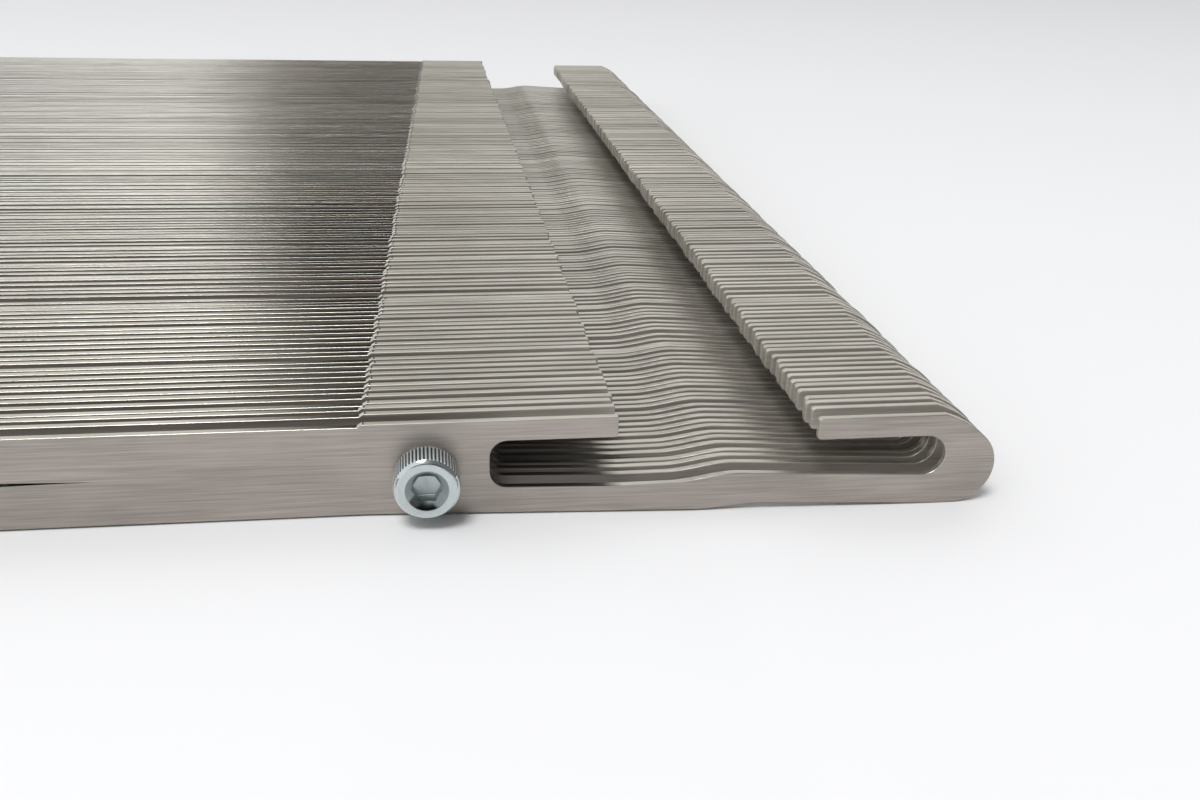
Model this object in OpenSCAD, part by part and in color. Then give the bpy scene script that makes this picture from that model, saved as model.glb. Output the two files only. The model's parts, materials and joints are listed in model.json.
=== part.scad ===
// A bundle of flat steel heddles (healds) with C-shaped end loops. The heddles stand on edge, one behind
// the other, and hang on two binding rods whose ends are closed by small socket head cap screws.
// X runs along the heddles, Y through the bundle (the front heddle is at the lowest Y), and Z is up.
// The origin is at the middle of the bundle, on the surface that the end loops stand on.

/* [Bundle] */
// Number of heddles in the bundle
heddle_count = 168; // [60:1:168]
// Mean distance from one heddle to the next
heddle_pitch = 0.86; // [0.76:0.01:1.1]
// Share of the mean gap by which the gaps between the single heddles vary
single_unevenness = 0.45; // [0:0.05:0.5]
// Share of the mean gap by which the gaps inside a pack vary
pack_unevenness = 0.9; // [0:0.05:0.9]
// Gap between the first heddle and the second
front_gap = 0.9; // [0.3:0.05:1.2]

/* [Heddle] */
// Overall length of a heddle, over its two end loops
heddle_len = 280; // [260:1:331]
// Thickness of the steel strip
strip_t = 0.46; // [0.3:0.01:0.5]
// Height of the strip between the end loops
body_h = 5.5; // [5:0.1:7]
// Height of the body above the line that the end loops stand on
body_lift = 0.88; // [0.6:0.01:1]

/* [End loop] */
// Length of the end loop, from its nose to the step in the top edge
loop_len = 38.1; // [36.8:0.1:40]
// Height of the step in the top edge
step_h = 0.16; // [0.05:0.01:0.4]
// Length of the slope in that step
step_run = 0.25; // [0.1:0.05:0.6]
// Thickness of the nose in front of the slot
nose_wall = 3.3; // [2.8:0.05:3.6]
// Distance from the nose to the closed inner end of the slot
slot_end = 30.97; // [29.5:0.05:31.2]
// Corner radius at the inner end of the slot
slot_corner_r = 1; // [0.5:0.05:1.2]
// Distance from the nose to the tip of the finger
finger_tip = 23.56; // [21:0.05:25]
// Thickness of the finger
finger_t = 1.3; // [1.1:0.05:1.5]
// Bevel under the tip of the finger
finger_bevel = 0.2; // [0.05:0.01:0.3]
// Distance from the nose to the tip of the hook
hook_tip = 11.5; // [9:0.05:13]
// Height of the top of the hook above the standing line
hook_top = 5.97; // [5.7:0.01:6.3]
// Thickness of the hook
hook_t = 1.38; // [1.1:0.02:1.6]
// Bevel at the two corners of the hook's tip
hook_bevel = 0.16; // [0.05:0.01:0.3]
// Radius of the lower front of the nose
nose_r = 2.5; // [2.2:0.05:2.7]
// Radius of the flatter curve from the nose up to the hook
brow_r = 6.9; // [6:0.1:8]
// Direction of the nose's outline where the lower curve meets the flatter one, in degrees
brow_from = 45; // [40:1:50]
// Length of the flat under the nose that the heddle stands on
foot_len = 1.4; // [1:0.1:2]

/* [Lower limb] */
// Thickness of the lower limb under the finger
limb_root_t = 1.68; // [1.4:0.02:1.9]
// Thickness of the lower limb under the hook
limb_nose_t = 1.97; // [1.7:0.02:2.1]
// Fall of the lower limb for each millimetre towards the nose
limb_slope = 0.031; // [0.02:0.001:0.04]
// Distance from the nose to the middle of the crank in the lower edge
crank_mid = 16.6; // [15:0.1:18]
// How much further from the nose the crank lies in the upper edge
crank_lean = 1.5; // [0:0.1:2]
// Length of the crank
crank_run = 4.2; // [3:0.1:5]
// Rise of the crank
crank_rise = 0.44; // [0.2:0.01:0.6]

/* [Slit and thread eye] */
// Distance from the nose to the nearer point of the slit
slit_start = 52.8; // [45:0.1:60]
// Length of the slit
slit_len = 60; // [30:1:62]
// Widest opening of the slit
slit_w = 0.62; // [0.3:0.02:1]
// Length of the thread eye
eye_len = 7; // [5:0.1:9]
// Height of the thread eye
eye_h = 1.8; // [1.2:0.05:2.4]

/* [Binding rods and screws] */
// Distance from the nose to the centre of the binding hole
hole_from_nose = 34.6; // [34.2:0.05:36]
// Height of that centre above the lower edge of the body
hole_rise = 2.42; // [2.2:0.02:2.9]
// Diameter of the binding rods
rod_d = 2.8; // [2.6:0.05:2.9]
// Radial clearance between a rod and the holes it passes through
rod_clearance = 0.18; // [0.1:0.01:0.25]
// Nominal thread diameter of the cap screws
screw_d = 2; // [1.8:0.05:2.1]
// Radial clearance between a screw and its tapped hole
screw_clearance = 0.04; // [0.02:0.01:0.06]
// Length of a cap screw under its head
screw_len = 6; // [4:0.5:8]
// Depth of the tapped hole beyond the end of the screw
tap_spare = 1.5; // [0.5:0.1:3]
// Diameter of the screw head over its knurl
head_d = 3.78; // [3.6:0.01:3.98]
// Height of the screw head
head_h = 2; // [1.8:0.02:2.2]
// Number of straight knurls round the head
knurl_count = 54; // [36:1:60]
// Depth of the knurls
knurl_depth = 0.07; // [0.03:0.01:0.1]
// Chamfer at the outer edge of the head
head_chamfer = 0.2; // [0.1:0.01:0.3]
// Width across flats of the hexagon socket
socket_af = 1.56; // [1.52:0.01:1.58]
// Depth of the hexagon socket
socket_depth = 1.05; // [0.8:0.05:1.2]
// Diameter of the round mouth of the socket
mouth_d = 2.46; // [2:0.02:2.5]
// Angle of that mouth's slope to the face of the head, in degrees
mouth_slope = 31; // [25:1:40]
// Gap between the head and the heddle next to it, and between the heddle and the rod's end
seat_gap = 0.04; // [0.02:0.01:0.1]

/* [Hidden] */
$fn = 64;

steel = [0.64, 0.62, 0.59];
rod_steel = [0.52, 0.53, 0.54];
zinc = [0.79, 0.84, 0.86];

// The heddles at the front have a node each, and the ones behind them are shared out over the packs
single_count = 24;
pack_count = 28;
function pack_first(p) = single_count + floor((heddle_count - single_count) * (p - 1) / pack_count);

// Gaps and places through the bundle; the gap behind each pack is the mean one
mean_gap = heddle_pitch - strip_t;
golden_angle = 137.508;
pack_ends = [for (p = [1:pack_count]) pack_first(p + 1) - 1];
function is_pack_end(i) = len([for (e = pack_ends) if (e == i) e]) > 0;
function unevenness(i) = i < single_count ? single_unevenness : is_pack_end(i) ? 0 : pack_unevenness;
function gap_after(i) = i == 0 ? front_gap : mean_gap * (1 + unevenness(i) * sin(golden_angle * i));
places = [for (i = 0, y = 0; i < heddle_count; y = y + strip_t + gap_after(i), i = i + 1) y];
stack_depth = places[heddle_count - 1] + strip_t;
front_y = -stack_depth / 2;

// Heights of the heddle's edges
body_top = body_lift + body_h;
body_mid = body_lift + body_h / 2;
finger_top = body_top + step_h;
slot_top = finger_top - finger_t;
hook_under = hook_top - hook_t;
hole_x = heddle_len / 2 - hole_from_nose;
hole_z = body_lift + hole_rise;
hole_r = rod_d / 2 + rod_clearance;

// The lower limb falls towards the nose, with a crank that lifts it on the way to the foot
foot_end = nose_r + foot_len;
limb_line_end = body_lift - limb_slope * (loop_len - foot_end) + crank_rise;
foot_slope = limb_line_end / (crank_mid - foot_end);
function smooth(t) = t <= 0 ? 0 : t >= 1 ? 1 : t * t * (3 - 2 * t);
function crank(u, mid) = crank_rise * smooth((mid + crank_run / 2 - u) / crank_run);
function limb_line(u) = body_lift - limb_slope * (loop_len - u) - foot_slope * max(0, crank_mid - u);
function limb_under(u) = limb_line(u) + crank(u, crank_mid);
function limb_t(u) = limb_root_t
    + (limb_nose_t - limb_root_t) * smooth((crank_mid + crank_run * 1.5 - u) / (crank_run * 1.5));
function limb_over(u) = limb_line(u) + crank(u, crank_mid + crank_lean) + limb_t(u);

// The slot narrows to a half circle behind the nose
slot_nose_r = (hook_under - limb_over(nose_wall + (hook_under - limb_over(nose_wall)) / 2)) / 2;
slot_nose_u = nose_wall + slot_nose_r;
slot_inner_u = slot_end - slot_corner_r;
slot_root_z = limb_over(slot_inner_u);
mouth_floor_z = (slot_top + slot_root_z) / 2;

// The flatter curve over the nose starts where the lower curve has turned to brow_from degrees
brow_u = nose_r - nose_r * sin(brow_from) + brow_r * sin(brow_from);
brow_z = nose_r + nose_r * cos(brow_from) - brow_r * cos(brow_from);
brow_start = [brow_u - brow_r * sin(brow_from), brow_z + brow_r * cos(brow_from)];
brow_end = [brow_u - sqrt(brow_r * brow_r - (hook_top - brow_z) * (hook_top - brow_z)), hook_top];

// The crank in an edge, as points from its inner end to its end at the nose
crank_steps = 3;
function crank_u(mid, k) = mid + crank_run * (0.5 - k / crank_steps);
crank_over = [for (k = [0:crank_steps]) let (u = crank_u(crank_mid + crank_lean, k)) [u, limb_over(u)]];
crank_under = [for (k = [crank_steps:-1:0]) let (u = crank_u(crank_mid, k)) [u, limb_under(u)]];

// The slit is a lens, with its edges on flat parabolas
slit_steps = 3;
function slit_edge(side, k) = let (t = k / slit_steps)
    [slit_start + slit_len * t, body_mid + side * slit_w / 2 * (1 - (2 * t - 1) * (2 * t - 1))];

// One half of a heddle's outline, with its mouth cut half way into the slot and its nose left square and
// spare. A half is drawn with u, the distance from its nose, along X and the height along Y.
spare = 1;
half_outline = concat(
    [[loop_len + step_run, body_top], [loop_len, finger_top], [finger_tip, finger_top],
     [finger_tip, mouth_floor_z], [hook_tip, mouth_floor_z], [hook_tip, hook_top - hook_bevel],
     [hook_tip - hook_bevel, hook_top], [-spare, hook_top], [-spare, 0], [foot_end, 0]],
    crank_under,
    [[loop_len, body_lift]]
);
function at_end(side, p) = [side * (heddle_len / 2 - p[0]), p[1]];

module at_both_ends() {
    translate([heddle_len / 2, 0]) mirror([1, 0]) children();
    translate([-heddle_len / 2, 0]) children();
}

// What is cut off the square nose, below and above the point where its two curves meet
module nose_waste() {
    difference() {
        translate([-2 * spare, -spare]) square([nose_r + 2 * spare, brow_start[1] + spare]);
        translate([nose_r, nose_r]) circle(r = nose_r);
    }
    difference() {
        translate([-2 * spare, brow_start[1]])
            square([brow_end[0] + 2 * spare, hook_top - brow_start[1] + spare]);
        translate([brow_u, brow_z]) circle(r = brow_r);
    }
}

// The slot between the finger, the lower limb and the hook
module loop_slot() {
    polygon(concat(
        [[slot_inner_u, slot_root_z], [slot_inner_u, slot_top], [finger_tip + finger_bevel, slot_top],
         [finger_tip, slot_top + finger_bevel], [hook_tip, hook_under + hook_bevel],
         [hook_tip - hook_bevel, hook_under], [slot_nose_u, hook_under],
         [slot_nose_u, hook_under - 2 * slot_nose_r]],
        [for (k = [crank_steps:-1:0]) crank_over[k]]
    ));
    translate([slot_nose_u, hook_under - slot_nose_r]) circle(r = slot_nose_r);
    for (z = [slot_top - slot_corner_r, slot_root_z + slot_corner_r])
        translate([slot_inner_u, z]) circle(r = slot_corner_r);
    translate([slot_inner_u, slot_root_z + slot_corner_r])
        square([slot_corner_r, slot_top - slot_root_z - 2 * slot_corner_r]);
}

module slit() {
    polygon(concat([for (k = [0:slit_steps]) slit_edge(1, k)],
                   [for (k = [slit_steps - 1:-1:1]) slit_edge(-1, k)]));
}

module thread_eye() {
    straight = eye_len - eye_h;
    translate([-straight / 2, body_mid - eye_h / 2]) square([straight, eye_h]);
    for (side = [-1, 1])
        translate([side * straight / 2, body_mid]) circle(r = eye_h / 2);
}

module heddle_face() {
    difference() {
        polygon(concat([for (p = half_outline) at_end(1, p)],
                       [for (k = [len(half_outline) - 1:-1:0]) at_end(-1, half_outline[k])]));
        at_both_ends() nose_waste();
        at_both_ends() loop_slot();
        at_both_ends() slit();
        at_both_ends() translate([hole_from_nose, hole_z]) circle(r = hole_r);
        thread_eye();
    }
}

// One heddle, standing on edge; i counts from the front of the bundle
module heddle(i) {
    color(steel)
        translate([0, front_y + places[i] + strip_t, 0])
            rotate([90, 0, 0])
                linear_extrude(height = strip_t) heddle_face();
}

// The heddles of one pack hang side by side and stay separate
module heddle_pack(p) {
    for (i = [pack_first(p):pack_first(p + 1) - 1]) heddle(i);
}

// A rod through the binding holes, tapped at both ends for a cap screw
module binding_rod(side) {
    rod_len = stack_depth - 2 * seat_gap;
    tap_depth = screw_len - 2 * seat_gap + tap_spare;
    tap_r = screw_d / 2 + screw_clearance;
    lead_in = 0.15;
    color(rod_steel)
        translate([side * hole_x, 0, hole_z])
            rotate([90, 0, 0])
                difference() {
                    cylinder(h = rod_len, d = rod_d, center = true);
                    for (turn = [0, 180])
                        rotate([turn, 0, 0]) translate([0, 0, rod_len / 2 - tap_depth]) {
                            cylinder(h = tap_depth + 1, r = tap_r);
                            translate([0, 0, tap_depth - lead_in])
                                cylinder(h = lead_in + 0.01, r1 = tap_r, r2 = tap_r + lead_in);
                        }
                }
}

// Outline of the knurled head: a crest and a root for each knurl
module knurled_disc() {
    crest = head_d / 2;
    root = crest - knurl_depth;
    step = 360 / knurl_count;
    polygon([for (k = [0:knurl_count - 1], half = [0, 1])
        let (r = half == 0 ? crest : root, a = step * (k + half / 2)) [r * cos(a), r * sin(a)]]);
}

// A socket head cap screw, head outwards along +Z, with the underside of the head at z = 0
module cap_screw() {
    socket_r = socket_af / sqrt(3);
    mouth_cone_h = mouth_d / 2 * tan(mouth_slope);
    color(zinc)
        difference() {
            union() {
                intersection() {
                    linear_extrude(height = head_h) knurled_disc();
                    rotate_extrude()
                        polygon([[0, 0], [head_d / 2 + head_chamfer, 0],
                                 [head_d / 2 + head_chamfer, head_h - 2 * head_chamfer],
                                 [head_d / 2 - head_chamfer, head_h], [0, head_h]]);
                }
                translate([0, 0, -screw_len]) cylinder(h = screw_len + 0.1, d = screw_d);
            }
            translate([0, 0, head_h - socket_depth]) cylinder(h = socket_depth + 1, r = socket_r, $fn = 6);
            translate([0, 0, head_h - mouth_cone_h])
                cylinder(h = 2 * mouth_cone_h, d1 = 0, d2 = 2 * mouth_d);
        }
}

// end is -1 at the front of the bundle and 1 at the rear, side is 1 at the right and -1 at the left
module placed_screw(side, end) {
    translate([side * hole_x, end * (stack_depth / 2 + seat_gap), hole_z])
        rotate([end < 0 ? 90 : -90, 0, 0])
            cap_screw();
}

binding_rod(1);  // binding_rod_right
binding_rod(-1);  // binding_rod_left
placed_screw(1, -1);  // cap_screw_front_right
placed_screw(-1, -1);  // cap_screw_front_left
placed_screw(1, 1);  // cap_screw_rear_right
placed_screw(-1, 1);  // cap_screw_rear_left
heddle(0);  // heddle_01
heddle(1);  // heddle_02
heddle(2);  // heddle_03
heddle(3);  // heddle_04
heddle(4);  // heddle_05
heddle(5);  // heddle_06
heddle(6);  // heddle_07
heddle(7);  // heddle_08
heddle(8);  // heddle_09
heddle(9);  // heddle_10
heddle(10);  // heddle_11
heddle(11);  // heddle_12
heddle(12);  // heddle_13
heddle(13);  // heddle_14
heddle(14);  // heddle_15
heddle(15);  // heddle_16
heddle(16);  // heddle_17
heddle(17);  // heddle_18
heddle(18);  // heddle_19
heddle(19);  // heddle_20
heddle(20);  // heddle_21
heddle(21);  // heddle_22
heddle(22);  // heddle_23
heddle(23);  // heddle_24
heddle_pack(1);  // heddle_pack_01
heddle_pack(2);  // heddle_pack_02
heddle_pack(3);  // heddle_pack_03
heddle_pack(4);  // heddle_pack_04
heddle_pack(5);  // heddle_pack_05
heddle_pack(6);  // heddle_pack_06
heddle_pack(7);  // heddle_pack_07
heddle_pack(8);  // heddle_pack_08
heddle_pack(9);  // heddle_pack_09
heddle_pack(10);  // heddle_pack_10
heddle_pack(11);  // heddle_pack_11
heddle_pack(12);  // heddle_pack_12
heddle_pack(13);  // heddle_pack_13
heddle_pack(14);  // heddle_pack_14
heddle_pack(15);  // heddle_pack_15
heddle_pack(16);  // heddle_pack_16
heddle_pack(17);  // heddle_pack_17
heddle_pack(18);  // heddle_pack_18
heddle_pack(19);  // heddle_pack_19
heddle_pack(20);  // heddle_pack_20
heddle_pack(21);  // heddle_pack_21
heddle_pack(22);  // heddle_pack_22
heddle_pack(23);  // heddle_pack_23
heddle_pack(24);  // heddle_pack_24
heddle_pack(25);  // heddle_pack_25
heddle_pack(26);  // heddle_pack_26
heddle_pack(27);  // heddle_pack_27
heddle_pack(28);  // heddle_pack_28
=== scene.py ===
# Looks of a bundle of flat steel heddles: strips with rolled edges, two drawn rods, four plated screws.
# X runs along the heddles, Y from the front heddle to the rear, Z up. Sizes in dictionaries are in mm.
import bpy
import json
import math
import random
from mathutils import Matrix, Vector
from mathutils.geometry import tessellate_polygon

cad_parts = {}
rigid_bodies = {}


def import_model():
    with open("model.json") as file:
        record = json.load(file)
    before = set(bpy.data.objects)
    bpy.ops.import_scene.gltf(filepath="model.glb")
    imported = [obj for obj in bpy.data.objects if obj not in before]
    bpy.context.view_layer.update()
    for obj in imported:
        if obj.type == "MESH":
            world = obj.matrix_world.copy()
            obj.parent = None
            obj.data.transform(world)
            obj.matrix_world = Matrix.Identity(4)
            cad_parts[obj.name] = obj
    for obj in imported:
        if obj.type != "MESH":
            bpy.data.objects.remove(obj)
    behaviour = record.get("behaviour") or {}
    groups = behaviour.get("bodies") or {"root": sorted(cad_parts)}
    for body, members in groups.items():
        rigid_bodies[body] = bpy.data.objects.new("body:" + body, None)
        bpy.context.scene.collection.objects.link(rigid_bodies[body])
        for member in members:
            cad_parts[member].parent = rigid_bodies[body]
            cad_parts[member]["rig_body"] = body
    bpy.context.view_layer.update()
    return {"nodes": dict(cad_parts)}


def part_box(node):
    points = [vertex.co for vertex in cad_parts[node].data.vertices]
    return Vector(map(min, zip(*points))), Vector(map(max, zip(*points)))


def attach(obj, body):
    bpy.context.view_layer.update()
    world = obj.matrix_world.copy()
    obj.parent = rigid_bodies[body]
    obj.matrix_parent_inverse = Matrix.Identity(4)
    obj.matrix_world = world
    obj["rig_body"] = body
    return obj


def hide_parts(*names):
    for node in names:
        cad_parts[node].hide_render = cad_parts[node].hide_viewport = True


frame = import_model()
mm = 0.001
print("frame loaded:", len(frame["nodes"]), "nodes")


def toLinear(hexColour):
    channels = [int(hexColour[i:i + 2], 16) / 255 for i in (1, 3, 5)]
    return [c / 12.92 if c <= 0.04045 else ((c + 0.055) / 1.055) ** 2.4 for c in channels] + [1]


def addNode(tree, kind, settings=None, inputs=None):
    node = tree.nodes.new(kind)
    for name, value in (settings or {}).items():
        setattr(node, name, value)
    for name, value in (inputs or {}).items():
        if isinstance(value, bpy.types.NodeSocket):
            tree.links.new(value, node.inputs[name])
        else:
            node.inputs[name].default_value = value
    return node


def newMaterial(name):
    material = bpy.data.materials.new(name)
    material.use_nodes = True
    material.node_tree.nodes.clear()
    return material, material.node_tree


# One heddle's outline. u is the distance from the nose of an end loop, z the height.
heddle = {
    "length": 280.0, "thickness": 0.46, "bodyBottom": 0.88, "bodyTop": 6.38,
    "edgeRadius": 0.05, "packEdgeRadius": 0.025, "loopEdgeRadius": 0.065,
    "edgeSteps": 3, "packEdgeSteps": 2, "edgeShadeAngle": 60.0,
    "limbBelow": 3.2, "limbPast": 1.0, "limbDullness": 0.55,      # the open limb is polished by the bars
    "loopLength": 38.1, "stepHeight": 0.16, "stepRun": 0.25, "stepRadius": 0.07,
    "stepFlat": 0.2, "stepMargin": 0.12,
    "fingerTip": 23.56, "fingerThickness": 1.3, "fingerTopRadius": 0.12, "fingerUnderRadius": 0.25,
    "slotEnd": 30.97, "slotCornerRadius": 1.0, "noseWall": 3.3,
    "hookTip": 11.5, "hookTop": 5.97, "hookThickness": 1.38, "hookTipRadius": 0.22, "hookFrom": 7.0,
    "noseRadius": 2.5, "browRadius": 6.9, "browFrom": 45.0, "footLength": 1.4,
    "limbRoot": 1.68, "limbNose": 1.97, "limbSlope": 0.031,
    "crankMiddle": 16.6, "crankLean": 1.5, "crankRun": 4.2, "crankRise": 0.44, "crankSteps": 14,
    "mouthStops": (3.0, 0.8, -0.4),               # points of the limb's top edge, from the finger's tip
    "overStops": (13.0, 10.0, 7.5), "noseStops": (7.0, 10.0, 12.5), "rootStops": (22.0, 27.0, 32.0),
    "slitStart": 52.8, "slitLength": 60.0, "slitWidth": 0.62, "slitSteps": 10,
    "eyeLength": 7.0, "eyeHeight": 1.8,
    "holeFromNose": 34.6, "holeHeight": 3.3, "holeRadius": 1.58, "holeSteps": 28,
    "arcSteps": 14, "smallArcSteps": 6, "browSteps": 8, "eyeSteps": 10,
    "bodyEnd": 96, "bodyStep": 12,                # the long edges have a point at every step
    "oilReach": {"mouth": 0.5, "end": 0.1, "limb": 0.05, "finger": 0.01},
}

# Hardened strip steel, brushed along the strip: a warm grey with fine lengthwise lines, which
# smear the reflections across the strip. The punched edges are a little lighter and yellower.
steelLook = {
    "face": "#b6ada6", "faceDark": "#97908a", "edge": "#cbc8bd", "edgeDark": "#aaa79b",
    "grainWidth": 0.09, "grainLength": 5.0,      # real brushing is about 0.03 mm apart, too fine to show
    "grainDepth": 0.4, "grainDetail": 3, "grainRoughness": 0.6,
    "oil": "#2b2723",                            # painted shade: a near-black colour in the closed end of the slot, under the finger, where little light gets in
    "cloudSize": 7.0, "cloudDepth": 0.9, "cloudDetail": 2,       # soft patches along a face
    "grainShare": 0.62, "cloudShare": 0.38, "darkAt": 0.36, "lightAt": 0.64,
    "roughness": 0.36, "bodyEdgeRoughness": 0.14, "loopEdgeRoughness": 0.42,
    "bump": 0.25, "bumpHeight": 0.004,
    "metallic": 0.72, "bodyEdgeMetallic": 1.0,    # the rest is the dull bottom of the brushed grooves
    "hiddenRoughness": 0.6, "hiddenMetallic": 0.2,    # a dull film on the loops' faces in the bundle
}


def brushedSteel():
    look = steelLook
    material, tree = newMaterial("brushed strip steel")
    place = addNode(tree, "ShaderNodeTexCoord").outputs["Object"]
    edge, tone, oily, duller, inner = [
        addNode(tree, "ShaderNodeAttribute", {"attribute_name": name}).outputs["Fac"]
        for name in ("edge", "tone", "oily", "duller", "inner")]
    grainSize = (look["grainLength"], look["grainDepth"], look["grainWidth"])
    along = addNode(tree, "ShaderNodeMapping", inputs={
        "Vector": place, "Scale": [1 / (size * mm) for size in grainSize]})
    grain = addNode(tree, "ShaderNodeTexNoise", inputs={
        "Vector": along.outputs["Vector"], "Scale": 1, "Detail": look["grainDetail"],
        "Roughness": look["grainRoughness"]})
    cloudSize = (look["cloudSize"], look["cloudDepth"], look["cloudSize"] * 0.5)
    cloudPlace = addNode(tree, "ShaderNodeMapping", inputs={
        "Vector": place, "Scale": [1 / (size * mm) for size in cloudSize]})
    cloud = addNode(tree, "ShaderNodeTexNoise", inputs={
        "Vector": cloudPlace.outputs["Vector"], "Scale": 1, "Detail": look["cloudDetail"]})
    mixed = addNode(tree, "ShaderNodeMath", {"operation": "MULTIPLY_ADD"}, {
        0: grain.outputs["Fac"], 1: look["grainShare"], 2: tone})
    shade = addNode(tree, "ShaderNodeMath", {"operation": "MULTIPLY_ADD"}, {
        0: cloud.outputs["Fac"], 1: look["cloudShare"], 2: mixed.outputs[0]})
    spread = addNode(tree, "ShaderNodeMapRange", inputs={
        "Value": shade.outputs[0], "From Min": look["darkAt"], "From Max": look["lightAt"]})
    faceMix, edgeMix = [addNode(tree, "ShaderNodeMix", {"data_type": "RGBA"}, {
        "Factor": spread.outputs["Result"], 6: toLinear(look[kind + "Dark"]), 7: toLinear(look[kind])})
        for kind in ("face", "edge")]
    colour = addNode(tree, "ShaderNodeMix", {"data_type": "RGBA"}, {
        "Factor": edge, 6: faceMix.outputs[2], 7: edgeMix.outputs[2]})
    # Painted shade: the closed end of the slot, where little light gets in, is mixed toward a near-black
    # colour.
    colour = addNode(tree, "ShaderNodeMix", {"data_type": "RGBA"}, {
        "Factor": oily, 6: colour.outputs[2], 7: toLinear(look["oil"])})
    hidden, sharp = [addNode(tree, "ShaderNodeMath", {"operation": "SUBTRACT", "use_clamp": True}, {
        0: first, 1: second}).outputs[0] for first, second in ((inner, edge), (edge, duller))]
    edgeRough = addNode(tree, "ShaderNodeMapRange", inputs={
        "Value": duller, "To Min": look["bodyEdgeRoughness"], "To Max": look["loopEdgeRoughness"]})
    faceRough = addNode(tree, "ShaderNodeMapRange", inputs={
        "Value": hidden, "To Min": look["roughness"], "To Max": look["hiddenRoughness"]})
    rough = addNode(tree, "ShaderNodeMapRange", inputs={
        "Value": edge, "To Min": faceRough.outputs["Result"], "To Max": edgeRough.outputs["Result"]})
    faceMetal = addNode(tree, "ShaderNodeMapRange", inputs={
        "Value": hidden, "To Min": look["metallic"], "To Max": look["hiddenMetallic"]})
    metal = addNode(tree, "ShaderNodeMapRange", inputs={
        "Value": sharp, "To Min": faceMetal.outputs["Result"], "To Max": look["bodyEdgeMetallic"]})
    relief = addNode(tree, "ShaderNodeMapRange", inputs={
        "Value": edge, "To Min": look["bump"], "To Max": 0.0})
    bump = addNode(tree, "ShaderNodeBump", inputs={
        "Height": grain.outputs["Fac"], "Strength": relief.outputs["Result"],
        "Distance": look["bumpHeight"] * mm})
    steel = addNode(tree, "ShaderNodeBsdfPrincipled", inputs={
        "Base Color": colour.outputs[2], "Metallic": metal.outputs["Result"],
        "Roughness": rough.outputs["Result"], "Normal": bump.outputs["Normal"]})
    addNode(tree, "ShaderNodeOutputMaterial", inputs={"Surface": steel.outputs["BSDF"]})
    return material


# Drawn steel rod: bright, with the long fine lines of the drawing die.
rodLook = {
    "light": "#a3a4a6", "dark": "#7d7e80", "lineWidth": 0.08, "lineLength": 12.0, "lineDetail": 2,
    "roughness": 0.28, "bump": 0.3, "bumpHeight": 0.003,
}


def drawnSteel():
    look = rodLook
    material, tree = newMaterial("bright drawn steel")
    place = addNode(tree, "ShaderNodeTexCoord").outputs["Object"]
    lineSize = (look["lineWidth"], look["lineLength"], look["lineWidth"])
    lines = addNode(tree, "ShaderNodeMapping", inputs={
        "Vector": place, "Scale": [1 / (size * mm) for size in lineSize]})
    grain = addNode(tree, "ShaderNodeTexNoise", inputs={
        "Vector": lines.outputs["Vector"], "Scale": 1, "Detail": look["lineDetail"]})
    colour = addNode(tree, "ShaderNodeMix", {"data_type": "RGBA"}, {
        "Factor": grain.outputs["Fac"], 6: toLinear(look["dark"]), 7: toLinear(look["light"])})
    bump = addNode(tree, "ShaderNodeBump", inputs={
        "Height": grain.outputs["Fac"], "Strength": look["bump"], "Distance": look["bumpHeight"] * mm})
    steel = addNode(tree, "ShaderNodeBsdfPrincipled", inputs={
        "Base Color": colour.outputs[2], "Metallic": 1.0, "Roughness": look["roughness"],
        "Normal": bump.outputs["Normal"]})
    addNode(tree, "ShaderNodeOutputMaterial", inputs={"Surface": steel.outputs["BSDF"]})
    return material


# Zinc plating on a turned and knurled steel head: a bluish white metal, glossy on the chamfer and
# the knurls and frosted, with tiny pits, on the flat ring. The knurl grooves carry painted shade and
# the socket's mouth a painted dark reflection.
zincLook = {
    # the dark colour is painted shade in the knurl grooves and a painted dark reflection in the socket's
    # mouth
    "light": "#e6eceb", "dark": "#b4bfc1", "groove": "#4c5656",
    "frost": 0.09, "frostDetail": 3, "frostRoughness": 0.7,
    "roughness": 0.08, "ringRoughness": 0.5, "crestMetallic": 0.4, "bump": 0.25, "bumpHeight": 0.006,
}


def zincPlate():
    look = zincLook
    material, tree = newMaterial("blue zinc plated steel")
    place = addNode(tree, "ShaderNodeTexCoord").outputs["Object"]
    ring, crest, groove = [
        addNode(tree, "ShaderNodeAttribute", {"attribute_name": name}).outputs["Fac"]
        for name in ("frosted", "crest", "groove")]
    pits = addNode(tree, "ShaderNodeTexNoise", inputs={
        "Vector": place, "Scale": 1 / (look["frost"] * mm), "Detail": look["frostDetail"],
        "Roughness": look["frostRoughness"]})
    colour = addNode(tree, "ShaderNodeMix", {"data_type": "RGBA"}, {
        "Factor": pits.outputs["Fac"], 6: toLinear(look["dark"]), 7: toLinear(look["light"])})
    # Painted shade between the knurls and a painted dark reflection on the socket's mouth cone.
    colour = addNode(tree, "ShaderNodeMix", {"data_type": "RGBA"}, {
        "Factor": groove, 6: colour.outputs[2], 7: toLinear(look["groove"])})
    metal = addNode(tree, "ShaderNodeMapRange", inputs={
        "Value": crest, "To Min": 1.0, "To Max": look["crestMetallic"]})
    rough = addNode(tree, "ShaderNodeMapRange", inputs={
        "Value": ring, "To Min": look["roughness"], "To Max": look["ringRoughness"]})
    bump = addNode(tree, "ShaderNodeBump", inputs={
        "Height": pits.outputs["Fac"], "Strength": look["bump"], "Distance": look["bumpHeight"] * mm})
    zinc = addNode(tree, "ShaderNodeBsdfPrincipled", inputs={
        "Base Color": colour.outputs[2], "Metallic": metal.outputs["Result"],
        "Roughness": rough.outputs["Result"], "Normal": bump.outputs["Normal"]})
    addNode(tree, "ShaderNodeOutputMaterial", inputs={"Surface": zinc.outputs["BSDF"]})
    return material


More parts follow.
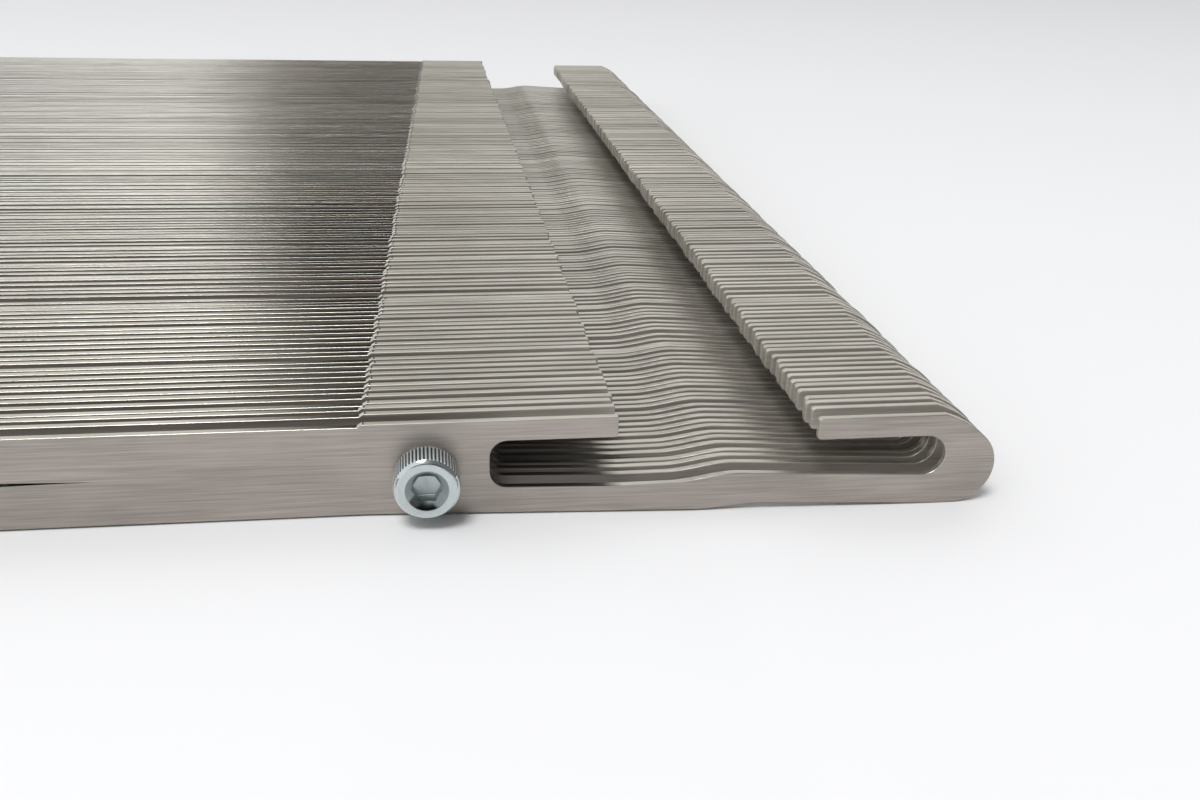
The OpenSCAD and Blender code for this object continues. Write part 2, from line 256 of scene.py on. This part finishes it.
steelMaterial = brushedSteel()
rodMaterial = drawnSteel()
zincMaterial = zincPlate()
print("materials made")


def smooth(t):
    t = min(1.0, max(0.0, t))
    return t * t * (3 - 2 * t)


def limbLine(u):
    h = heddle
    footEnd = h["noseRadius"] + h["footLength"]
    lineEnd = h["bodyBottom"] - h["limbSlope"] * (h["loopLength"] - footEnd) + h["crankRise"]
    footSlope = lineEnd / (h["crankMiddle"] - footEnd)
    fall = h["limbSlope"] * (h["loopLength"] - u) + footSlope * max(0.0, h["crankMiddle"] - u)
    return h["bodyBottom"] - fall


def crank(u, middle):
    return heddle["crankRise"] * smooth((middle + heddle["crankRun"] / 2 - u) / heddle["crankRun"])


def limbUnder(u):
    return limbLine(u) + crank(u, heddle["crankMiddle"])


def limbOver(u):
    h = heddle
    swell = smooth((h["crankMiddle"] + h["crankRun"] * 1.5 - u) / (h["crankRun"] * 1.5))
    thickness = h["limbRoot"] + (h["limbNose"] - h["limbRoot"]) * swell
    return limbLine(u) + crank(u, h["crankMiddle"] + h["crankLean"]) + thickness


def evenSteps(start, end, steps):
    return [start + (end - start) * k / steps for k in range(steps + 1)]


def arc(centre, radius, start, end, steps):
    angles = [math.radians(a) for a in evenSteps(start, end, steps)]
    return [(centre[0] + radius * math.cos(a), centre[1] + radius * math.sin(a)) for a in angles]


def filleted(corners, steps=4):
    points = []                                   # each corner is (u, z, radius)
    for k, (u, z, radius) in enumerate(corners):
        if radius == 0 or k in (0, len(corners) - 1):
            points.append((u, z))
            continue
        here = Vector((u, z))
        back = (Vector(corners[k - 1][:2]) - here).normalized()
        ahead = (Vector(corners[k + 1][:2]) - here).normalized()
        half = back.angle(ahead) / 2
        reach = radius / math.tan(half)
        centre = here + (back + ahead).normalized() * radius / math.sin(half)
        first, last = here + back * reach - centre, here + ahead * reach - centre
        turn = first.angle_signed(last)
        for s in range(steps + 1):
            spin = Matrix.Rotation(-turn * s / steps, 2)
            points.append(tuple(centre + spin @ first))
    return points


def halfOutline():
    h = heddle
    fingerTop = h["bodyTop"] + h["stepHeight"]
    slotTop = fingerTop - h["fingerThickness"]
    hookUnder = h["hookTop"] - h["hookThickness"]
    corner = h["slotCornerRadius"]
    innerU = h["slotEnd"] - corner
    rootZ = limbOver(innerU)
    throatU = h["noseWall"] + (hookUnder - limbOver(h["noseWall"])) / 2
    throatR = (hookUnder - limbOver(throatU)) / 2
    throat = (h["noseWall"] + throatR, hookUnder - throatR)
    overU = h["crankMiddle"] + h["crankLean"]
    overEnds = overU + h["crankRun"] / 2, overU - h["crankRun"] / 2
    underEnds = h["crankMiddle"] - h["crankRun"] / 2, h["crankMiddle"] + h["crankRun"] / 2
    finger = [(h["slitStart"], h["bodyTop"], 0),
              (h["loopLength"] + h["stepRun"], h["bodyTop"], h["stepRadius"]),
              (h["loopLength"], fingerTop, h["stepRadius"]),
              (h["loopLength"] - h["stepFlat"], fingerTop, 0),
              (h["fingerTip"], fingerTop, h["fingerTopRadius"]),
              (h["fingerTip"], slotTop, h["fingerUnderRadius"]), (innerU, slotTop, 0)]
    points = filleted(finger)[1:]
    points += arc((innerU, slotTop - corner), corner, 90, 0, h["smallArcSteps"])[1:]
    points += arc((innerU, rootZ + corner), corner, 0, -90, h["smallArcSteps"])
    points += [(u, limbOver(u)) for u in [h["fingerTip"] + stop for stop in h["mouthStops"]]]
    points += [(u, limbOver(u)) for u in evenSteps(*overEnds, h["crankSteps"])]
    points += [(u, limbOver(u)) for u in h["overStops"]]
    points += arc(throat, throatR, 270, 90, h["arcSteps"])
    hook = [(throat[0], hookUnder, 0), (h["hookTip"], hookUnder, h["hookTipRadius"]),
            (h["hookTip"], h["hookTop"], h["hookTipRadius"]), (h["hookFrom"], h["hookTop"], 0)]
    points += filleted(hook)[1:]
    noseR, browR, turn = h["noseRadius"], h["browRadius"], math.radians(h["browFrom"])
    brow = (noseR + (browR - noseR) * math.sin(turn), noseR - (browR - noseR) * math.cos(turn))
    browTop = math.degrees(math.acos((h["hookTop"] - brow[1]) / browR))
    points += arc(brow, browR, 90 + browTop, 90 + h["browFrom"], h["browSteps"])
    points += arc((noseR, noseR), noseR, 90 + h["browFrom"], 270, h["arcSteps"])[1:]
    points.append((noseR + h["footLength"], 0.0))
    points += [(u, limbUnder(u)) for u in h["noseStops"]]
    points += [(u, limbUnder(u)) for u in evenSteps(*underEnds, h["crankSteps"])]
    points += [(u, limbUnder(u)) for u in h["rootStops"]]
    points.append((h["loopLength"], h["bodyBottom"]))
    return points


def heddleLoops():
    h = heddle
    half, middle = h["length"] / 2, (h["bodyBottom"] + h["bodyTop"]) / 2
    right = [(half - u, z) for u, z in halfOutline()]
    left = [(-x, z) for x, z in reversed(right)]
    bodyX = list(range(-h["bodyEnd"], h["bodyEnd"] + 1, h["bodyStep"]))
    outer = right + [(-x, h["bodyBottom"]) for x in bodyX] + left + [(x, h["bodyTop"]) for x in bodyX]
    loops, steps = [outer], h["slitSteps"]
    for side in (1, -1):
        start = half - h["slitStart"]
        edge = [(side * (start - h["slitLength"] * k / steps),
                 h["slitWidth"] / 2 * (1 - (2 * k / steps - 1) ** 2)) for k in range(steps + 1)]
        loops.append([(x, middle + w) for x, w in edge] + [(x, middle - w) for x, w in edge[-2:0:-1]])
        hole = (side * (half - h["holeFromNose"]), h["holeHeight"])
        loops.append(arc(hole, h["holeRadius"], 0, 360, h["holeSteps"])[:-1])
    straight, radius = (h["eyeLength"] - h["eyeHeight"]) / 2, h["eyeHeight"] / 2
    loops.append(arc((straight, middle), radius, -90, 90, h["eyeSteps"])
                 + arc((-straight, middle), radius, 90, 270, h["eyeSteps"]))
    return loops


def outwards(loop, solidInside):
    count = len(loop)
    area = sum(loop[k][0] * loop[(k + 1) % count][1] - loop[(k + 1) % count][0] * loop[k][1]
               for k in range(count))
    if (area > 0) != solidInside:                 # metal always lies on the left of the path
        loop = loop[::-1]
    normals = []
    for k in range(count):
        before = (Vector(loop[k]) - Vector(loop[k - 1])).normalized()
        after = (Vector(loop[(k + 1) % count]) - Vector(loop[k])).normalized()
        normal = Vector((before.y + after.y, -before.x - after.x)).normalized()
        normals.append(normal / max(0.5, normal.dot(Vector((after.y, -after.x)))))
    return loop, normals


# Where the painted slot shade goes: the limb's top edge inside the closed end of the slot, under the
# finger.
def inSlot(x, z):
    h, reach = heddle, heddle["oilReach"]
    u = h["length"] / 2 - abs(x)
    top = h["bodyTop"] + h["stepHeight"] - h["fingerThickness"] + reach["finger"]
    inside = h["fingerTip"] + reach["mouth"] < u < h["slotEnd"] + reach["end"]
    return inside and limbOver(u) - reach["limb"] < z < top


# Points, faces, normals and shading weights of one heddle, with its front face at y = 0.
def blankStrip(roundSteps, radius):
    h, depth = heddle, heddle["thickness"]
    angles = [math.radians(a) for a in evenSteps(0, 90, roundSteps)]
    levels = [(a, -1) for a in angles] + [(a, 1) for a in reversed(angles)]
    points, normals, weights, dullness, oil, faces = [], [], [], [], [], []
    frontLoops, backLoops = [], []
    loopFrom = h["length"] / 2 - h["loopLength"] + h["stepMargin"]
    limbFrom = h["length"] / 2 - h["fingerTip"] - h["limbPast"]
    for index, loop in enumerate(heddleLoops()):
        loop, outward = outwards(loop, index == 0)
        base, count = len(points), len(loop)
        for a, facing in levels:
            for (x, z), n in zip(loop, outward):
                flat = n.normalized()
                here = h["loopEdgeRadius"] if abs(x) > loopFrom else radius
                inset, y = here * (1 - math.sin(a)), here * (1 - math.cos(a))
                points.append((x - n.x * inset, y if facing < 0 else depth - y, z - n.y * inset))
                normals.append((flat.x * math.sin(a), facing * math.cos(a), flat.y * math.sin(a)))
                weights.append(min(1.0, a / math.radians(h["edgeShadeAngle"])))
                onLimb = abs(x) > limbFrom and z < h["limbBelow"]
                dullness.append(0.0 if abs(x) < loopFrom else h["limbDullness"] if onLimb else 1.0)
                # weight of the painted shade in the slot's closed end
                oil.append(weights[-1] if inSlot(x, z) else 0.0)
        for row in range(len(levels) - 1):
            for k in range(count):
                here, after = base + row * count + k, base + row * count + (k + 1) % count
                faces.append((here, here + count, after + count, after))
        frontLoops.append([base + k for k in range(count)])
        backLoops.append([base + (len(levels) - 1) * count + k for k in range(count)])
    for loops, flip in ((frontLoops, True), (backLoops, False)):
        order = [i for loop in loops for i in loop]
        flats = [[Vector((points[i][0], points[i][2], 0)) for i in loop] for loop in loops]
        for a, b, c in tessellate_polygon(flats):
            pa, pb, pc = [points[order[i]] for i in (a, b, c)]
            turn = (pb[0] - pa[0]) * (pc[2] - pa[2]) - (pc[0] - pa[0]) * (pb[2] - pa[2])
            if (turn > 0) != flip:
                b, c = c, b
            faces.append((order[a], order[b], order[c]))
    return points, faces, {"normal": normals, "edge": weights, "duller": dullness, "oily": oil}


# How the strips hang: each leans, bows and fans out at its loops a little, never into its neighbour.
hang = {
    "seed": 11, "leanMost": 0.16, "fanMost": 0.3, "bowMost": 0.12, "shiftMost": 0.12,
    "jointSlack": 0.07,                           # what two neighbours may close up by across a joint
    "restGap": 0.015, "toneSpread": 0.05,
    "groupChance": 0.6, "touching": 0.03,        # strips of a pack that stick together, and their gap
    "openGaps": 3, "shareRange": (0.7, 1.3),     # at least so many gaps in a pack share its free room
    "evenFrom": 11, "packTone": 0.1,             # from this pack back all stand evenly, each in its tone
    "stepDrift": 0.034,                          # the body edges were ground as a bundle, slightly askew
    "stepReach": 0.8, "stepBand": 0.2,           # how far from the step, and below the top edge
    "fanLength": 60.0, "flatStrips": 8,          # the last strips lie flat against the rear heads
}
chance = random.Random(hang["seed"])


def stripFronts(node):
    levels = sorted({round(v.co.y / mm, 2) for v in frame["nodes"][node].data.vertices})
    return [y for k, y in enumerate(levels) if k % 2 == 0]


def evened(places):
    return [places[0] + (places[-1] - places[0]) * k / (len(places) - 1) for k in range(len(places))]


# The strips of one pack, moved together in small groups between its first and its last strip.
def grouped(places):
    thickness = heddle["thickness"]
    shares = [0.0 if chance.random() < hang["groupChance"] else chance.uniform(*hang["shareRange"])
              for y in places[1:]]
    while sum(1 for share in shares if share) < hang["openGaps"]:
        shares[chance.randrange(len(shares))] = 1.0
    free = places[-1] - places[0] - (thickness + hang["touching"]) * len(shares)
    moved = [places[0]]
    for share in shares:
        moved.append(moved[-1] + thickness + hang["touching"] + free * share / sum(shares))
    return moved


# Every strip's place in Y and its small bends, front to rear, as one list of dictionaries.
def hangStrips():
    nodes = sorted(n for n in frame["nodes"] if n.startswith("heddle") and "pack" not in n)
    nodes += sorted(n for n in frame["nodes"] if n.startswith("heddle_pack"))
    strips = []
    for node in nodes:
        places, tone = stripFronts(node), 0.0
        if "pack" in node:
            places = evened(places) if int(node[-2:]) >= hang["evenFrom"] else grouped(places)
            tone = chance.uniform(-1, 1) * hang["packTone"]
        strips += [{"node": node, "y": y, "tone": tone} for y in places]
    keys = {"lean": "leanMost", "fanRight": "fanMost", "fanLeft": "fanMost", "bow": "bowMost"}
    for k, strip in enumerate(strips):
        for key, most in keys.items():
            strip[key] = chance.uniform(-1, 1) * hang[most]
        strip["shift"] = chance.uniform(-1, 1) * hang["shiftMost"]
        strip["tone"] += chance.uniform(-1, 1) * hang["toneSpread"]
        strip["inner"] = 1.0
        if k == 0:
            strip.update(lean=0.0, fanRight=0.0, fanLeft=0.0, bow=0.0, shift=0.0, tone=0.0, inner=0.0)
            continue
        before = strips[k - 1]
        gap = strip["y"] - before["y"] - heddle["thickness"] - hang["restGap"]
        slack = gap if before["node"] == strip["node"] else min(gap, hang["jointSlack"])
        share = max(0.0, slack) / 2               # lean and one fan or the bow can add up
        for key in keys:
            strip[key] = max(strip[key], before[key] - share)
    for strip in strips[-hang["flatStrips"]:]:
        strip.update({key: 0.0 for key in keys})
    hang["frontY"] = strips[0]["y"]
    return strips


def bent(point, strip):
    x, y, z = point
    half, top, fanLength = heddle["length"] / 2, heddle["bodyTop"], hang["fanLength"]
    fromStep = abs(abs(x) - half + heddle["loopLength"])
    if fromStep < hang["stepReach"] and z > top - hang["stepBand"]:
        x += math.copysign(hang["stepDrift"] * (strip["y"] - hang["frontY"]), x)
    right, left = [smooth((side * x - half + fanLength) / fanLength) for side in (1, -1)]
    middle = math.cos(math.pi * x / heddle["length"])
    fan = strip["fanRight"] * right + strip["fanLeft"] * left
    push = fan + strip["bow"] * middle + strip["lean"] * z / top
    return ((x + strip["shift"]) * mm, (y + strip["y"] + push) * mm, z * mm)


def makeHeddles():
    blanks = {True: blankStrip(heddle["edgeSteps"], heddle["edgeRadius"]),
              False: blankStrip(heddle["packEdgeSteps"], heddle["packEdgeRadius"])}
    byNode = {}
    for strip in hangStrips():
        byNode.setdefault(strip["node"], []).append(strip)
    for node, strips in byNode.items():
        points, faces, values = blanks["pack" not in node]
        count = len(points)
        allPoints = [bent(p, strip) for strip in strips for p in points]
        allFaces = [tuple(i + k * count for i in face) for k in range(len(strips)) for face in faces]
        mesh = bpy.data.meshes.new(node + "_steel")
        mesh.from_pydata(allPoints, [], allFaces)
        mesh.polygons.foreach_set("use_smooth", [True] * len(mesh.polygons))
        shading = {key: values[key] * len(strips) for key in ("edge", "duller", "oily")}
        shading["tone"] = [strip["tone"] for strip in strips for p in points]
        shading["inner"] = [strip["inner"] * math.ceil(d) for strip in strips for d in values["duller"]]
        for name, weights in shading.items():
            mesh.attributes.new(name, "FLOAT", "POINT").data.foreach_set("value", weights)
        mesh.normals_split_custom_set_from_vertices(values["normal"] * len(strips))
        mesh.materials.append(steelMaterial)
        piece = bpy.data.objects.new(node + "_strip", mesh)
        bpy.context.scene.collection.objects.link(piece)
        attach(piece, frame["nodes"][node]["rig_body"])
        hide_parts(node)
    return len(byNode)


print("heddles made in", makeHeddles(), "pieces")

# A knurled M2 socket head cap screw, head outwards; z is counted from the underside of the head.
capScrew = {
    "headRadius": 1.89, "headHeight": 2.0, "around": 324,
    "chamfer": 0.2, "chamferEase": (0.05, -0.01), "easeDrop": 0.03,
    "turnedEase": 0.02, "turnedShare": 0.6, "underChamfer": 0.16, "underEase": 0.03,
    "knurls": 54, "knurlDepth": 0.085, "knurlSharpness": 0.7, "knurlSteps": 4, "knurlRise": 0.03,
    "socketFlats": 1.56, "socketDepth": 1.05, "socketEase": 0.03, "drillAngle": 18.0, "drillShare": 0.9,
    "drillTip": 0.03, "mouthRadius": 1.23, "mouthSlope": 37.0, "mouthLip": 0.035, "mouthTone": 0.7,
    "socketFrost": 0.5, "smoothUnder": 24.0,
    "shankRadius": 0.98, "shankLength": 6.0, "shankAround": 36, "shankRoot": 0.05,
    "pitch": 0.4, "threadDepth": 0.2, "threadSteps": 8, "threadFrom": 0.3, "threadRunOut": 0.5,
    "threadTop": 1.6, "threadFlank": 4.0, "pointLength": 0.25, "pointSlope": 0.8,
}


def ringMesh(rings, around):
    points = [p for ring in rings for p in ring]
    faces = []
    for row in range(len(rings) - 1):
        for k in range(around):
            here, after = row * around + k, row * around + (k + 1) % around
            faces.append((here, after, after + around, here + around))
    faces.append(tuple(range(around))[::-1])
    faces.append(tuple(range(len(points) - around, len(points))))
    return points, faces


def headRings():
    s, around = capScrew, capScrew["around"]
    angles = [2 * math.pi * k / around for k in range(around)]
    top, chamfer, outer, flats = s["headHeight"], s["chamfer"], s["headRadius"], s["socketFlats"] / 2
    steep, lip, ease = math.tan(math.radians(s["mouthSlope"])), s["mouthLip"], s["turnedEase"]
    mouthDrop = (s["mouthRadius"] - flats) * steep
    floor, drilled = top - s["socketDepth"], flats * s["drillShare"]

    def hexRadius(a):
        return flats / math.cos(a % (math.pi / 3) - math.pi / 6)

    def level(radiusAt, z):
        return [(radiusAt(a) * math.cos(a), radiusAt(a) * math.sin(a), z) for a in angles]

    def knurl(a):
        wave = abs(math.sin(a * s["knurls"] / 2))
        return outer - s["knurlDepth"] * (1 - wave ** s["knurlSharpness"])

    rings = [level(lambda a: s["drillTip"], floor - drilled * math.tan(math.radians(s["drillAngle"]))),
             level(lambda a: drilled, floor),
             level(lambda a: hexRadius(a) - s["socketEase"], floor),
             level(hexRadius, floor + s["socketEase"])]
    crown = []
    for a in angles:                              # the six walls end in arcs where the cone cuts them
        z = top - mouthDrop + max(0.0, hexRadius(a) - flats) * steep
        crown.append((hexRadius(a) * math.cos(a), hexRadius(a) * math.sin(a), z))
    rings.append(crown)
    rings.append(level(lambda a: s["mouthRadius"] - lip, top - lip * steep))
    rings.append(level(lambda a: s["mouthRadius"] + lip, top))
    ringInner = len(rings) - 1
    cone = outer - s["knurlDepth"] * s["turnedShare"]
    rings.append(level(lambda a: outer - chamfer - s["chamferEase"][0], top))
    rings.append(level(lambda a: outer - chamfer - s["chamferEase"][1], top - s["easeDrop"]))
    rings.append(level(lambda a: cone - ease, top - chamfer))
    rings.append(level(lambda a: cone, top - chamfer - ease))
    for k in range(s["knurlSteps"]):              # the knurls rise in a short run-out
        share, down = k / (s["knurlSteps"] - 1), s["knurlRise"] * (k + 1)
        rings.append(level(lambda a: cone + (knurl(a) - cone) * share, top - chamfer - down))
    rings.append(level(knurl, s["underChamfer"] * 2))
    rings.append(level(knurl, s["underChamfer"]))
    rings.append(level(lambda a: outer - s["underChamfer"] - s["underEase"], 0.0))
    rings.append(level(lambda a: s["shankRadius"] * 0.5, 0.0))
    return rings, ringInner


def shankRings():
    s, around, rings = capScrew, capScrew["shankAround"], []
    total = int(s["shankLength"] / s["pitch"] * s["threadSteps"])
    for down in evenSteps(0, s["shankLength"], total):
        runOut = min(1.0, max(0.0, down - s["threadFrom"]) / s["threadRunOut"])
        tip = max(0.0, down - s["shankLength"] + s["pointLength"])
        z = s["shankRoot"] - down * (1 + s["shankRoot"] / s["shankLength"])
        ring = []
        for j in range(around):
            a = 2 * math.pi * j / around
            phase = (down / s["pitch"] - j / around) % 1
            ridge = min(1.0, max(0.0, s["threadTop"] - abs(phase - 0.5) * s["threadFlank"]))
            radius = s["shankRadius"] - s["threadDepth"] * runOut * (1 - ridge) - tip * s["pointSlope"]
            ring.append((radius * math.cos(a), radius * math.sin(a), z))
        rings.append(ring)
    return rings


def makeScrews():
    rings, ringInner = headRings()
    headPoints, headFaces = ringMesh(rings, capScrew["around"])
    shankPoints, shankFaces = ringMesh(shankRings(), capScrew["shankAround"])
    points = headPoints + shankPoints
    faces = headFaces + [tuple(i + len(headPoints) for i in face) for face in shankFaces]
    frosted, crest, groove = [], [], []
    for i in range(len(points)):
        ring, k = divmod(i, capScrew["around"])   # counted from the socket's floor out to the shank
        knurled = ringInner + 5 <= ring < ringInner + 11
        halfFrosted = capScrew["socketFrost"] if knurled or ring < ringInner - 1 else 0.0
        frosted.append(1.0 if ring < ringInner - 2 or ringInner <= ring < ringInner + 2 else halfFrosted)
        wave = abs(math.sin(math.pi * k / capScrew["around"] * capScrew["knurls"]))
        crest.append(max(0.0, wave * 2 - 1) if knurled else 0.0)
        inMouth = ringInner - 2 <= ring < ringInner
        # painted shade between the knurls, and a painted dark reflection on the socket's mouth cone
        groove.append(1 - wave if knurled else capScrew["mouthTone"] if inMouth else 0.0)
    for node in sorted(n for n in frame["nodes"] if n.startswith("cap_screw")):
        low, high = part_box(node)
        centre = (low + high) / 2
        face, side = (low.y, 1) if "front" in node else (high.y, -1)
        turn = Matrix.Rotation(math.radians(90 * side), 4, "X")
        seat = Vector((centre.x, face + side * capScrew["headHeight"] * mm, centre.z))
        mesh = bpy.data.meshes.new(node + "_plated")
        mesh.from_pydata([turn @ (Vector(p) * mm) + seat for p in points], [], faces)
        for name, values in (("frosted", frosted), ("crest", crest), ("groove", groove)):
            mesh.attributes.new(name, "FLOAT", "POINT").data.foreach_set("value", values)
        mesh.materials.append(zincMaterial)
        mesh.polygons.foreach_set("use_smooth", [True] * len(mesh.polygons))
        mesh.set_sharp_from_angle(angle=math.radians(capScrew["smoothUnder"]))
        piece = bpy.data.objects.new(node + "_detail", mesh)
        bpy.context.scene.collection.objects.link(piece)
        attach(piece, frame["nodes"][node]["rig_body"])
        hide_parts(node)


makeScrews()
print("screws made")

for node in ("binding_rod_right", "binding_rod_left"):
    rod = frame["nodes"][node]
    rod.data.materials.clear()
    rod.data.materials.append(rodMaterial)
print("rods finished")

# A plain pale studio: a white floor and backdrop, a greyer right side, and one soft lamp high up, a
# little to the left and in front. Two dark shapes, one behind and one in front, show in the steel.
studio = {
    "floor": "#eeeeef", "floorRoughness": 0.9, "floorSize": 6.0, "floorDrop": 0.02,
    "floorGap": 0.1, "floorFall": 60.0, "floorMargin": 5.0,
    "floorX": (0, 40, 80, 100, *range(102, 140), 145, 200, 400, 1000),    # fine below the loops
    "floorY": (0, 40, 70, 78, *range(80, 141, 6), 200, 400, 1000),
    "backdrop": "#ffffff", "left": "#f6f8fa", "right": "#7b7a78", "strength": 1.0,
    "sidesMeet": (-0.5, 0.4), "backdropFrom": (0.1, 0.55),       # where one tone turns into the next
    "topSoftness": 0.8,
    "darkShapes": (                               # degrees clockwise from straight behind or in front
        {"colour": "#161514", "inFront": False, "from": -11, "to": 5, "soft": (6, 3), "top": 36},
        {"colour": "#22282b", "inFront": True, "from": -35, "to": 32, "soft": (8, 8), "top": 46}),
    "lampAzimuth": 205.0, "lampElevation": 62.0, "lampDistance": 0.7, "lampSize": 0.26, "lampWatts": 2.7,
    "lampAim": (0.1, -0.04, 0.0),
}


def floorHeight(x, y):
    u = heddle["length"] / 2 - abs(x)             # the soft floor rises between the two rows of feet
    footEnd = heddle["noseRadius"] + heddle["footLength"]
    crankEnd = heddle["crankMiddle"] + heddle["crankRun"] / 2
    under = limbUnder(max(u, crankEnd)) if u < heddle["loopLength"] else heddle["bodyBottom"]
    rise = (under - studio["floorGap"]) * smooth((u - footEnd) / (crankEnd - footEnd))
    halfDepth = frame["nodes"]["binding_rod_right"].dimensions.y / 2 / mm
    beyond = max(0.0, abs(y) - halfDepth - studio["floorMargin"])
    return rise * (1 - smooth(beyond / studio["floorFall"]))


def makeFloor():
    halves = [[*studio[key], studio["floorSize"] / 2 / mm] for key in ("floorX", "floorY")]
    xs, ys = [[-place for place in reversed(half[1:])] + half for half in halves]
    points = [(x * mm, y * mm, floorHeight(x, y) * mm) for y in ys for x in xs]
    faces = [(k, k + 1, k + 1 + len(xs), k + len(xs)) for row in range(len(ys) - 1)
             for k in range(row * len(xs), (row + 1) * len(xs) - 1)]
    mesh = bpy.data.meshes.new("floor")
    mesh.from_pydata(points, [], faces)
    mesh.polygons.foreach_set("use_smooth", [True] * len(faces))
    material, tree = newMaterial("white paper floor")
    paper = addNode(tree, "ShaderNodeBsdfPrincipled", inputs={
        "Base Color": toLinear(studio["floor"]), "Roughness": studio["floorRoughness"]})
    addNode(tree, "ShaderNodeOutputMaterial", inputs={"Surface": paper.outputs["BSDF"]})
    mesh.materials.append(material)
    floor = bpy.data.objects.new("floor", mesh)
    bpy.context.scene.collection.objects.link(floor)
    floor.location.z = -studio["floorDrop"] * mm


def makeSurround():
    world = bpy.data.worlds.new("studio surround")
    bpy.context.scene.world = world
    world.use_nodes = True
    tree = world.node_tree
    tree.nodes.clear()
    direction = addNode(tree, "ShaderNodeTexCoord").outputs["Generated"]
    split = addNode(tree, "ShaderNodeSeparateXYZ", inputs={"Vector": direction})
    gradual = {"interpolation_type": "SMOOTHSTEP"}
    colour = toLinear(studio["left"])
    for axis, key, side in (("X", "sidesMeet", "right"), ("Y", "backdropFrom", "backdrop")):
        share = addNode(tree, "ShaderNodeMapRange", gradual, {
            "Value": split.outputs[axis], "From Min": studio[key][0], "From Max": studio[key][1]})
        colour = addNode(tree, "ShaderNodeMix", {"data_type": "RGBA"}, {
            "Factor": share.outputs["Result"], 6: colour, 7: toLinear(studio[side])}).outputs[2]
    for shape in studio["darkShapes"]:
        turned = addNode(tree, "ShaderNodeVectorMath", {"operation": "SCALE"}, {
            "Vector": direction, "Scale": -1 if shape["inFront"] else 1})
        turned = addNode(tree, "ShaderNodeSeparateXYZ", inputs={"Vector": turned.outputs["Vector"]})
        azimuth = addNode(tree, "ShaderNodeMath", {"operation": "ARCTAN2"}, {
            0: turned.outputs["X"], 1: turned.outputs["Y"]}).outputs[0]
        start, end = math.radians(shape["from"]), math.radians(shape["to"])
        softStart, softEnd = [math.radians(soft) for soft in shape["soft"]]
        topZ = math.sin(math.radians(shape["top"]))
        cover = 1.0
        for value, bare, full in ((azimuth, start, start + softStart), (azimuth, end, end - softEnd),
                                  (split.outputs["Z"], topZ, topZ * studio["topSoftness"])):
            edge = addNode(tree, "ShaderNodeMapRange", gradual, {
                "Value": value, "From Min": bare, "From Max": full})
            cover = addNode(tree, "ShaderNodeMath", {"operation": "MULTIPLY"}, {
                0: cover, 1: edge.outputs["Result"]}).outputs[0]
        colour = addNode(tree, "ShaderNodeMix", {"data_type": "RGBA"}, {
            "Factor": cover, 6: colour, 7: toLinear(shape["colour"])}).outputs[2]
    glow = addNode(tree, "ShaderNodeBackground", inputs={
        "Color": colour, "Strength": studio["strength"]})
    addNode(tree, "ShaderNodeOutputWorld", inputs={"Surface": glow.outputs["Background"]})


def makeLamp():
    data = bpy.data.lights.new("soft lamp", "AREA")
    data.shape = "DISK"
    data.size = studio["lampSize"]
    data.energy = studio["lampWatts"]
    lamp = bpy.data.objects.new("soft lamp", data)
    azimuth, elevation = math.radians(studio["lampAzimuth"]), math.radians(studio["lampElevation"])
    level = math.cos(elevation)
    towards = Vector((math.sin(azimuth) * level, math.cos(azimuth) * level, math.sin(elevation)))
    lamp.location = towards * studio["lampDistance"] + Vector(studio["lampAim"])
    lamp.rotation_euler = towards.to_track_quat("Z", "Y").to_euler()
    bpy.context.scene.collection.objects.link(lamp)


makeFloor()
makeSurround()
makeLamp()
print("studio made")

# The camera stands low in front of the right end, as in the photograph.
camera = {
    "noseToCamera": 34.55, "frontToCamera": 61.894, "height": 34.776,
    "yaw": 9.037, "pitch": 23.417, "roll": 1.872, "lens": 36.0, "sensor": 36.0, "clip": (0.001, 20.0),
}


def makeCamera():
    c = camera
    yaw, pitch, roll = [math.radians(c[key]) for key in ("yaw", "pitch", "roll")]
    ahead = Vector((math.sin(yaw) * math.cos(pitch), math.cos(yaw) * math.cos(pitch), -math.sin(pitch)))
    level = Vector((math.cos(yaw), -math.sin(yaw), 0))
    upright = level.cross(ahead)
    right = level * math.cos(roll) + upright * math.sin(roll)
    up = upright * math.cos(roll) - level * math.sin(roll)
    data = bpy.data.cameras.new("camera")
    data.lens, data.sensor_width, data.sensor_fit = c["lens"], c["sensor"], "HORIZONTAL"
    data.clip_start, data.clip_end = c["clip"]
    view = bpy.data.objects.new("camera", data)
    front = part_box("heddle_01")[0].y / mm
    nose = heddle["length"] / 2
    place = Vector((nose - c["noseToCamera"], front - c["frontToCamera"], c["height"])) * mm
    axes = Matrix((right, up, -ahead)).transposed().to_4x4()
    view.matrix_world = Matrix.Translation(place) @ axes
    bpy.context.scene.collection.objects.link(view)
    bpy.context.scene.camera = view


makeCamera()
bpy.context.scene.view_settings.view_transform = "Standard"
print("camera set")
